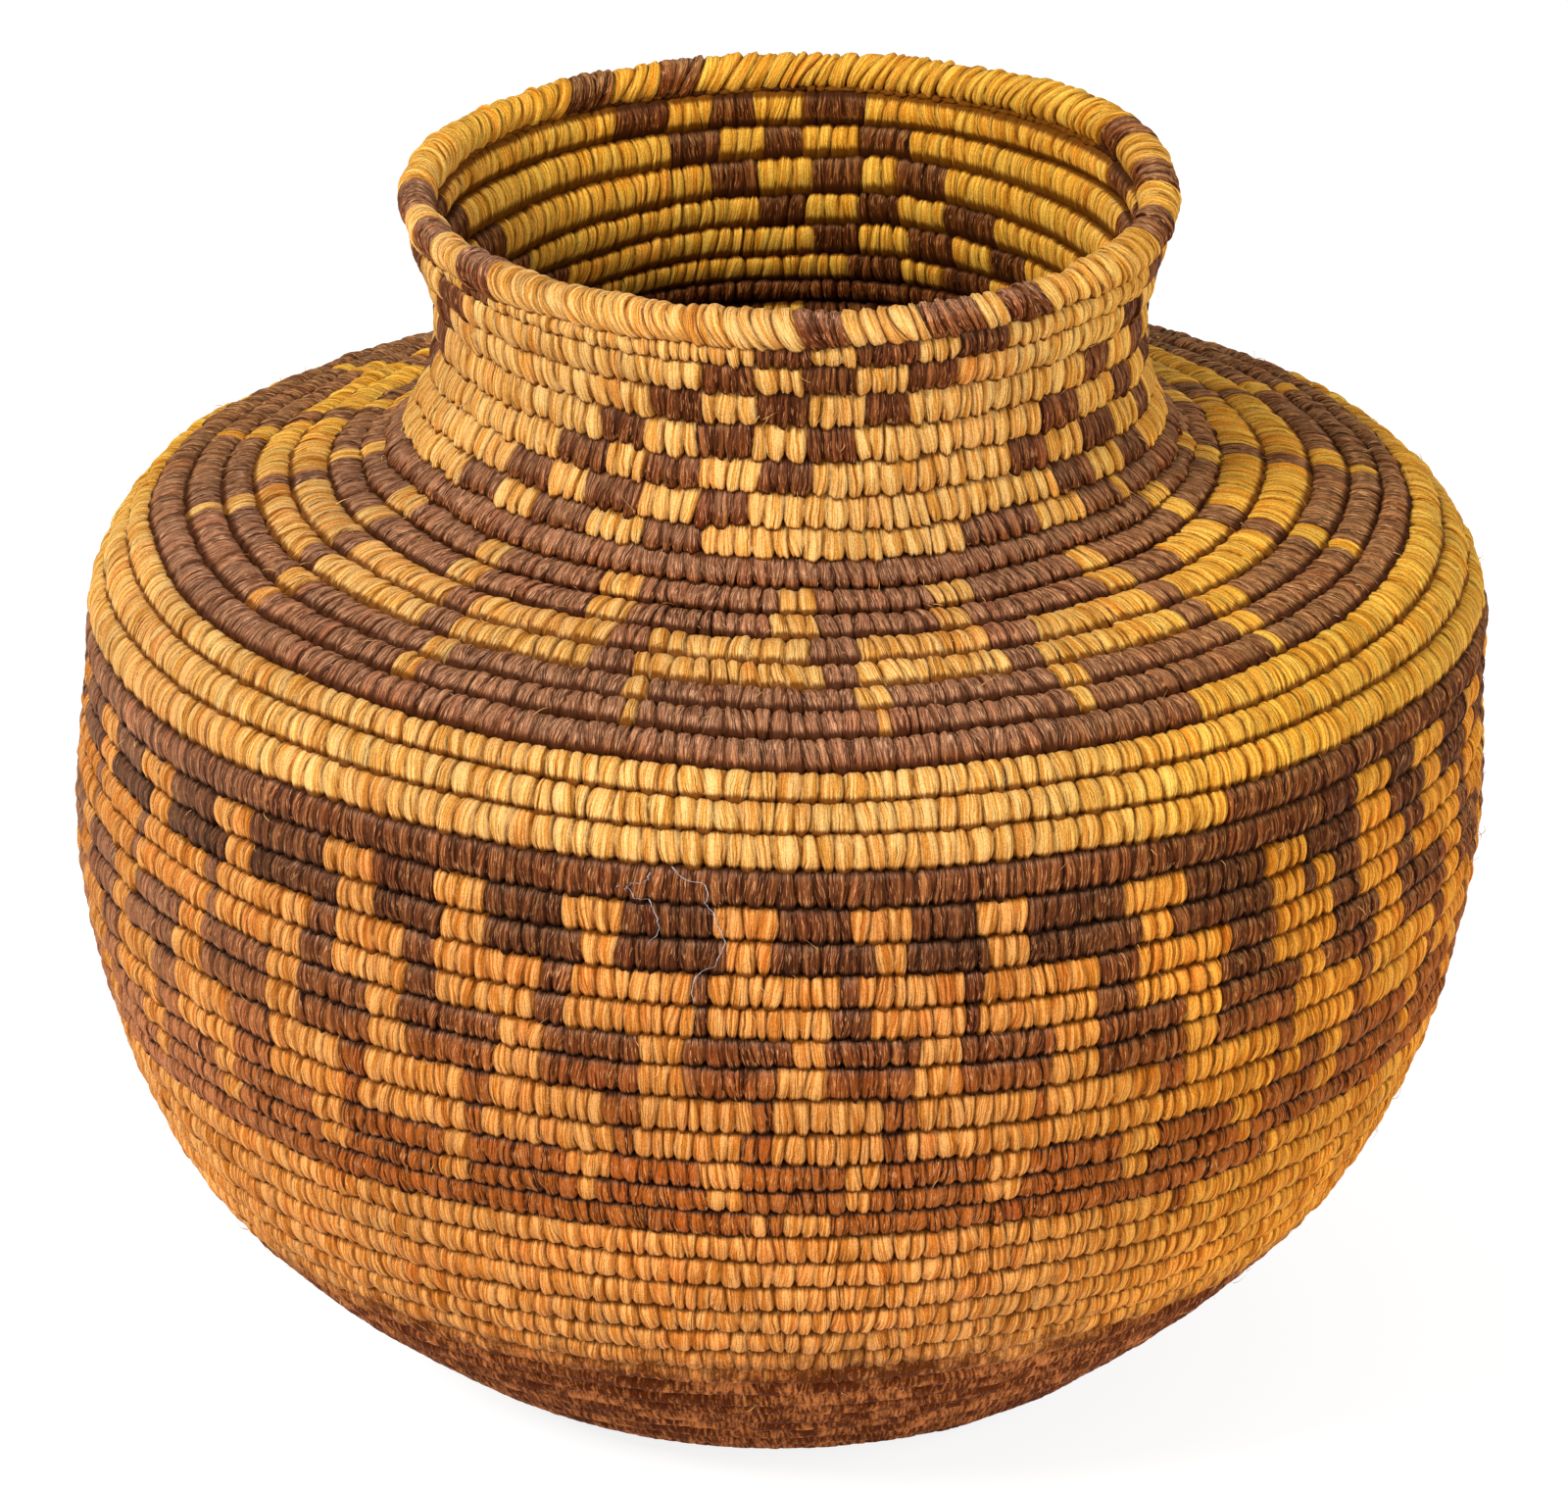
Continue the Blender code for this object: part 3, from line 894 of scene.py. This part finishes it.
def grid_mesh(name, points, measures, traits, stitch):
    """A closed tube from points [column, point round the section], with its maps and traits.

    measures holds, per point, the metres along and around the coil, how near it is to the
    edge of its stitch, how much painted shade it gets in the groove between two courses, and how
    high on a strand.
    """
    along, around, *grooves = measures
    columns, ring = points.shape[:2]
    column = np.arange(columns - 1)[:, None]
    place = np.arange(ring)[None, :]
    after = (place + 1) % ring
    here, there = column * ring, (column + 1) * ring
    quads = np.stack([here + place, there + place, there + after, here + after], -1).reshape(-1, 4)
    caps = np.concatenate([np.arange(ring), np.arange(ring)[::-1] + (columns - 1) * ring])
    corners = np.concatenate([quads.ravel(), caps])
    starts = np.append(np.arange(len(quads) + 1) * 4, len(quads) * 4 + ring)
    mesh = bpy.data.meshes.new(name)
    mesh.vertices.add(columns * ring)
    mesh.vertices.foreach_set("co", points.reshape(-1).astype(np.float32))
    mesh.loops.add(len(corners))
    mesh.loops.foreach_set("vertex_index", corners.astype(np.int32))
    mesh.polygons.add(len(starts))
    mesh.polygons.foreach_set("loop_start", starts.astype(np.int32))
    mesh.polygons.foreach_set("use_smooth", np.ones(len(starts), bool))
    mesh.update(calc_edges=True)

    flat_caps = np.zeros((2 * ring, 2))
    coil_map = add_map(mesh, "Coil", np.vstack([coil_places(along, around), flat_caps]))
    add_map(mesh, "OFBake", bake_places(columns - 1, ring))
    mesh.uv_layers.active = coil_map
    coil_map.active_render = True

    face_stitch = np.concatenate([np.repeat(stitch[:-1], ring), [stitch[0], stitch[-1]]])
    values = mesh.attributes.new("splint", "FLOAT_COLOR", "FACE")
    values.data.foreach_set("color", traits[face_stitch].ravel().astype(np.float32))
    shade = mesh.attributes.new("grooves", "FLOAT_VECTOR", "POINT")
    shade.data.foreach_set("vector", np.stack(grooves, -1).ravel().astype(np.float32))
    return mesh


def into_scene(name, data):
    thing = bpy.data.objects.new(name, data)
    bpy.context.scene.collection.objects.link(thing)
    return thing


def riding(name, mesh, material):
    """A mesh as a piece of the scene, which rides on the one body."""
    piece = into_scene(name, mesh)
    mesh.materials.append(material)
    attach(piece, "root")
    return piece


def sewn_piece(name, sewing, points, measures, traits):
    """A sewn tube in place of its node. Its sections go from their foot outside to the top."""
    measures = [np.broadcast_to(values, points.shape[:2])[:, ::-1] for values in measures]
    points = settle(points)[:, ::-1]
    mesh = grid_mesh("sewn_" + name, points, measures, traits, sewing.stitch)
    piece = riding("sewn_" + name, mesh, SPLINT)
    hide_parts(name)


def section_angles(ring):
    """Where the points of a round section stand, from its foot by the outside to its top."""
    return math.tau * np.arange(ring)[None, :] / ring - math.pi / 2


def turned(radius, angle, height):
    """Points so far from the basket's axis, so far round it and so high."""
    return np.stack([radius * np.cos(angle), radius * np.sin(angle), height], -1)


def groove_shade_at(zone, reach, depth, rise, half_height):
    """How much painted shade a point gets in the groove between courses, from 0 to 1."""
    on_belly = zone in ("lower_belly_round", "belly_round")
    above = ramp(reach, *(GROOVE_ABOVE_ON_BELLY if on_belly else GROOVE_ABOVE))
    outside = np.where(rise < 0, ramp(reach, *GROOVE_BELOW), above)
    hollow = np.where(depth < 0, ramp(reach, *GROOVE_INSIDE), outside)
    return np.maximum(hollow, ramp(half_height, *GROOVE_HALF_HEIGHT))


def sewn_round(zone, number, first, width):
    """One turn of the coil with its stitches, from turn number first."""
    name = f"{zone}_{number:02d}"
    length = math.tau * OUTLINE.at(START_KNOT_RADIUS + PITCH * (first + 0.5))[0]
    last = min(first + 1, TURNS - TAPER_END_HEIGHT / PITCH)
    sewing = Sewing(max(round(length / width), FEWEST_STITCHES), seed=1000 + first)
    x, turns = sewing.x, first + (last - first) * sewing.share
    azimuth = sewing.azimuths(last - first)
    brown = is_brown(zone, first, azimuth)
    section = section_angles(SECTION_POINTS)
    depth, rise = np.cos(section), np.sin(section)

    # How the section stands at each column
    low, high = seam_line(turns), seam_line(turns + 1)
    middle, half_height = (low + high) / 2, (high - low) / 2 + COIL_OVERLAP
    half_depth = WALL_THICKNESS / 2 * np.clip(half_height / THIN_HALF_HEIGHT, THINNEST_SHARE, 1)
    swell = 1 + COIL_SWELL * smooth_noise(500 + first, sewing.share + 1, COIL_SWELLS_PER_TURN)
    flat_end = BASE_RADIUS + FLAT_FADE_TURNS * PITCH
    flat = ramp(START_KNOT_RADIUS + PITCH * turns, flat_end, BASE_RADIUS)
    wear = 1 - FOOT_WEAR * ramp(turns, *FOOT_WORN)

    # What the stitches add to it: they bulge, and their ragged lower ends lie on the course below
    bulge = sewing.each(sewing.bulges) * (1 - np.abs(x) ** 4)
    bulge *= 1 + STITCH_TILT * sewing.each(sewing.tilts) * x
    strand = sewing.strand_heights(rise)
    gap = sewing.gap_depths() * sewing.each(np.where(brown, BROWN_GAP_SHARE, 1))
    relief = bulge + STRAND_RELIEF * strand - gap * (0.55 + 1.1 * rise**2)
    below = np.clip(-rise, 0, 1) ** 2
    rounded = 1 - np.abs(x) ** 3
    tongue = sewing.each(sewing.tongues) * rounded + TONGUE_FRAY * (sewing.frays[:, None] - 0.5)
    outside = np.clip(depth * 2, 0, 1)
    lift = TONGUE_LIFT * rounded * below * outside
    p = half_depth * depth * swell + (relief * depth + lift) * wear
    q = half_height * rise + (relief * rise * (1 - rise**6) - tongue * below * outside) * wear
    inward = WALL_THICKNESS / 2 - p + STITCH_BULGE * flat
    climb = stations_at(INNER_CLIMB, turns + (1 + rise) / 2) * inward / WALL_THICKNESS

    # They also lean, bow and draw in at their ends
    half_width = sewing.each(np.diff(sewing.edges)) * length / 2
    pinch = x * (np.abs(x) < 1) * STITCH_PINCH * half_width * np.abs(rise) ** 3
    shift = sewing.between(sewing.leans) * q + sewing.between(sewing.bows) * (1 - rise**2) * 2
    circle = math.tau * np.maximum(OUTLINE.at(middle)[0], START_KNOT_RADIUS)
    turns_here = np.clip(turns - (shift + pinch) / circle, first, last)

    radius, height = OUTLINE.at(middle + q + climb)
    normal_r, normal_z = OUTLINE.outward(middle + q + climb)
    height = np.maximum(height - normal_z * inward, 0)
    angle = SEAM_ANGLE - math.tau * turns_here
    points = turned(radius - normal_r * inward, angle, height)

    perimeter = 2 * (WALL_THICKNESS + PITCH) * 0.86
    along = sewing.share * length + 0.9 * first
    around = perimeter * np.arange(SECTION_POINTS)[None, :] / SECTION_POINTS
    # How much painted shade each point gets in the groove between courses
    hollow = groove_shade_at(zone, np.abs(q) / half_height, depth, rise, half_height)
    measures = (along, around, np.abs(x), hollow, strand)
    traits = stitch_traits(sewing, brown, first, azimuth)
    sewn_piece(name, sewing, points, measures, traits)


def sewn_rim():
    """The thick coil round the mouth, overcast with leaning stitches."""
    half = RIM_THICKNESS / 2
    length = math.tau * (RIM_MIDDLE_RADIUS + half)
    count = round(length / RIM_STITCH_WIDTH)
    sewing = Sewing(count, seed=77, lean=RIM_LEAN, spread=RIM_LEAN_SPREAD, closed=True)
    x, share = sewing.x, sewing.share
    section = section_angles(RIM_SECTION_POINTS)
    depth, rise = np.cos(section), np.sin(section)

    bulge = sewing.each(sewing.bulges) * (1 - np.abs(x) ** 2.6)
    bulge *= 1 + (RIM_STITCH_SLOPE + 0.3 * sewing.each(sewing.tilts)) * x
    strand = sewing.strand_heights(rise)
    lumps = RIM_LUMPS * smooth_noise(91, share % 1 + 1, RIM_LUMPS_PER_TURN)
    relief = bulge - RIM_GAP_SHARE * sewing.gap_depths() + lumps + STRAND_RELIEF * strand
    thicker = half * stations_at(RIM_SWELL, azimuth_of(share))
    reach = half + thicker - RIM_INSET_IN_BULGES * STITCH_BULGE + relief
    shift = -sewing.between(sewing.leans) * half * (rise + 0.45 * depth)
    angle = SEAM_ANGLE - math.tau * (share + shift / length)
    height = RIM_MIDDLE_HEIGHT + reach * rise + thicker + mouth_lift(np.degrees(angle) + 90)
    height += RIM_SAG * (np.sin(angle * 2 + 0.4) + 0.5 * np.sin(angle * 5))
    points = turned(RIM_MIDDLE_RADIUS + reach * depth, angle, height)
    points[-1] = points[0]

    around = (section / math.tau + 0.25) * math.pi * RIM_THICKNESS
    # Painted shade on the underside of the rim
    hollow = ramp(-rise, *GROOVE_UNDER_RIM)
    measures = (share * length, around, np.abs(x), hollow, strand)
    azimuth = sewing.azimuths(1)
    traits = stitch_traits(sewing, rim_is_brown(azimuth), TURNS, azimuth)
    sewn_piece("rim_coil", sewing, points, measures, traits)


def start_knot():
    """The button that the coil starts from: a low snail-shaped dome with radial stitches."""
    sewing = Sewing(KNOT_STITCHES, seed=5)
    edge = np.abs(sewing.x)
    across, up = np.array(KNOT_PROFILE).T[:, None, :]
    radius = (seam_line(sewing.share) + COIL_OVERLAP) * across
    relief = KNOT_BULGE - KNOT_GAP_DEPTH * edge**5
    height = np.maximum(KNOT_HEIGHT * up + relief * np.sign(up - 0.5), 0)
    points = turned(radius, SEAM_ANGLE - math.tau * sewing.share, height)
    level = np.zeros_like(radius)
    measures = (sewing.share * 0.03, across * 0.008, edge, level, level)
    brown = np.ones(KNOT_STITCHES, bool)
    traits = stitch_traits(sewing, brown, 0, np.zeros(KNOT_STITCHES))
    sewn_piece("start_knot", sewing, points, measures, traits)


def on_wall(length, raised, angle):
    """Points so far out from the wall there, with the directions out from it and along it."""
    radius, height = OUTLINE.at(length)
    out_r, out_z = OUTLINE.outward(length)
    points = turned(radius + out_r * raised, angle, height + out_z * raised)
    out = turned(out_r, angle, out_z)
    side = turned(np.ones_like(angle), angle + math.pi / 2, np.zeros_like(angle))
    return points, out, side


def hairs(name, line, side, out, thick, material):
    """Fine three-sided hairs, as one piece, along the points [hair, step] of line."""
    count, length = line.shape[:2]
    ring = [
        line + thick * (math.cos(turn) * side + math.sin(turn) * out)
        for turn in (math.radians(90), math.radians(210), math.radians(330))
    ]
    points = settle(np.stack(ring, 2)).reshape(-1, 3)
    faces = []
    for hair in range(count):
        base = hair * length * 3
        for step in range(length - 1):
            a = base + step * 3
            faces += [(a + i, a + (i + 1) % 3, a + (i + 1) % 3 + 3, a + i + 3) for i in range(3)]
        end = base + (length - 1) * 3
        faces += [(base + 2, base + 1, base), (end, end + 1, end + 2)]
    mesh = bpy.data.meshes.new(name)
    mesh.from_pydata(points.tolist(), [], faces)
    mesh.polygons.foreach_set("use_smooth", np.ones(len(faces), bool))
    riding(name, mesh, material)


def loose_fibres():
    """Frayed ends that stand out of the sewing, curled a little."""
    rng = np.random.default_rng(41)
    turns = rng.uniform(LOOSE_FROM_TURN, LOOSE_TO_TURN, LOOSE_FIBRES)
    rise = rng.uniform(-0.95, 0.7, LOOSE_FIBRES)
    length = START_KNOT_RADIUS + PITCH * (turns + 0.5 + 0.5 * rise)
    raised = WALL_THICKNESS / 2 * (np.sqrt(1 - rise**2) - 1) + STITCH_BULGE
    root, out, side = on_wall(length, raised, SEAM_ANGLE - math.tau * turns)
    down = np.cross(side, out)[:, None]
    root, out, side = root[:, None], out[:, None], side[:, None]

    wide = (slice(None), None, None)
    heading = rng.choice([-1, 1], LOOSE_FIBRES) * rng.uniform(0.4, 1, LOOSE_FIBRES)
    slant = rng.normal(0, 0.55, LOOSE_FIBRES)
    lift = rng.uniform(0.05, 1, LOOSE_FIBRES) ** 2 * LOOSE_LIFT
    curl = rng.normal(0, LOOSE_CURL, LOOSE_FIBRES)
    reach = rng.uniform(0.35, 1, LOOSE_FIBRES) * LOOSE_LENGTH
    t = np.linspace(0, 1, LOOSE_STEPS + 1)[None, :, None]
    line = root + reach[wide] * t * (heading[wide] * down + slant[wide] * side)
    line += lift[wide] * np.sin(math.pi * 0.75 * t) * out
    line += curl[wide] * t**2 * side
    thick = LOOSE_THICKNESS / 2 * (1 - 0.75 * t) * rng.uniform(0.6, 1.3, LOOSE_FIBRES)[wide]
    straw = thread_material("loose_fibre", 300, 1, (BROWN_LIGHT, TAN_LIGHT_ABOVE), 0.7, 0.2)
    hairs("loose_fibres", line, side, out, thick, straw)


def lint():
    """Two curled threads of white lint caught on the front of the belly, one with a spur."""
    steps = np.linspace(0, 1, LINT_STEPS + 1)
    threads = []
    for number, thread in enumerate(LINT_THREADS):
        place = np.linspace(0, 1, len(thread))
        azimuth = stations_at(list(zip(place, [a for a, _ in thread])), steps)
        turns = stations_at(list(zip(place, [t for _, t in thread])), steps)
        azimuth = azimuth + 0.12 * smooth_noise(60 + number, steps, 30)
        turns = turns + 0.03 * smooth_noise(70 + number, steps, 26)
        raised = LINT_LIFT * (1 + 0.5 * smooth_noise(80 + number, steps, 12))
        length = START_KNOT_RADIUS + PITCH * turns
        threads.append(on_wall(length, raised, np.radians(azimuth - 90)))
    line, out, side = (np.stack(values) for values in zip(*threads))
    thick = LINT_THICKNESS / 2 * (1 - 0.5 * steps[None, :, None] ** 2)
    cotton = thread_material("lint", 700, 2, (LINT_GREY, LINT_WHITE), 0.8, 0.5)
    hairs("lint", line, side, out, thick, cotton)


# The stage: a white sheet, plain white surroundings and two lamps
FLOOR_REACH = 6
FLOOR_BELOW = 0.0002
FLOOR_LIGHT = (0.85, 0.85, 0.85, 1)
FLOOR_SEEN = (0.34, 0.34, 0.34, 1)
FLOOR_GLOW = 0.85
WORLD_LIGHT = 0.45
LAMP_TARGET = Vector((0, 0, 0.13))
# Each lamp's name, place, size and power
LAMPS = (
    ("key", (-1.6, -1.7, 1.9), 0.7, 72),
    ("fill", (2.1, -1.6, 0.8), 2, 36),
)


def floor():
    """The sheet: plain white where the camera sees it, save for the shadow on it."""
    sides = ((-1, -1), (1, -1), (1, 1), (-1, 1))
    corners = [(x * FLOOR_REACH, y * FLOOR_REACH, -FLOOR_BELOW) for x, y in sides]
    mesh = bpy.data.meshes.new("floor")
    mesh.from_pydata(corners, [], [(0, 1, 2, 3)])
    ground = into_scene("floor", mesh)
    material, n = new_material("white_paper")
    rays = n.add("LightPath").outputs
    seen = n.maths("ADD", rays["Is Camera Ray"], rays["Is Glossy Ray"])
    seen = n.maths("ADD", seen, rays["Is Transmission Ray"], clamp=True)
    paper = n.add("BsdfDiffuse", {"Color": n.mix(seen, FLOOR_LIGHT, FLOOR_SEEN)})
    glow = n.add("Emission", {"Strength": n.times(seen, FLOOR_GLOW)})
    n.output(n.add("AddShader", {0: paper.outputs[0], 1: glow.outputs[0]}))
    mesh.materials.append(material)


def world():
    """White surroundings: dimmer as a light than as the camera sees them."""
    sky = bpy.data.worlds.new("studio")
    bpy.context.scene.world = sky
    sky.use_nodes = True
    n = Nodes(sky.node_tree)
    rays = n.add("LightPath").outputs
    seen = n.maths("ADD", rays["Is Camera Ray"], rays["Is Transmission Ray"])
    light = {"Color": (1, 1, 1, 1), "Strength": n.ramp(seen, 0, 1, WORLD_LIGHT, 1)}
    n.output(n.add("Background", light), "OutputWorld")


def area_light(name, place, size, power):
    """A square lamp that looks at the basket."""
    data = bpy.data.lights.new(name, "AREA")
    data.size = size
    data.energy = power
    lamp = into_scene(name, data)
    lamp.location = place
    lamp.rotation_euler = (LAMP_TARGET - Vector(place)).to_track_quat("-Z", "Y").to_euler()


# The camera, as the photograph's perspective gives it
PHOTO_WIDTH = 1600
SENSOR_WIDTH = 36
FOCAL_PIXELS = 14125
CAMERA_DISTANCE = 2.963
CAMERA_RISE = math.radians(22.08)
CAMERA_ROLL = math.radians(0.2)
AIM = Vector((0.0004, 0, 0.1371))


def camera():
    """The camera, above the front and looking down at the basket."""
    data = bpy.data.cameras.new("camera")
    data.sensor_width = SENSOR_WIDTH
    data.lens = SENSOR_WIDTH * FOCAL_PIXELS / PHOTO_WIDTH
    data.clip_start = 0.1
    data.clip_end = 50
    eye = into_scene("camera", data)
    back = Vector((0, -math.cos(CAMERA_RISE), math.sin(CAMERA_RISE)))
    facing = (-back).to_track_quat("-Z", "Y").to_matrix().to_4x4()
    roll = Matrix.Rotation(CAMERA_ROLL, 4, "Z")
    eye.matrix_world = Matrix.Translation(AIM + back * CAMERA_DISTANCE) @ facing @ roll
    bpy.context.scene.camera = eye


start_knot()
first = 0
for zone, count, width, slot in ZONES:
    for number in range(1, count + 1):
        sewn_round(zone, number, first, width)
        first += 1
sewn_rim()
loose_fibres()
lint()
floor()
world()
for lamp in LAMPS:
    area_light(*lamp)
camera()

bpy.context.scene.view_settings.view_transform = "Standard"
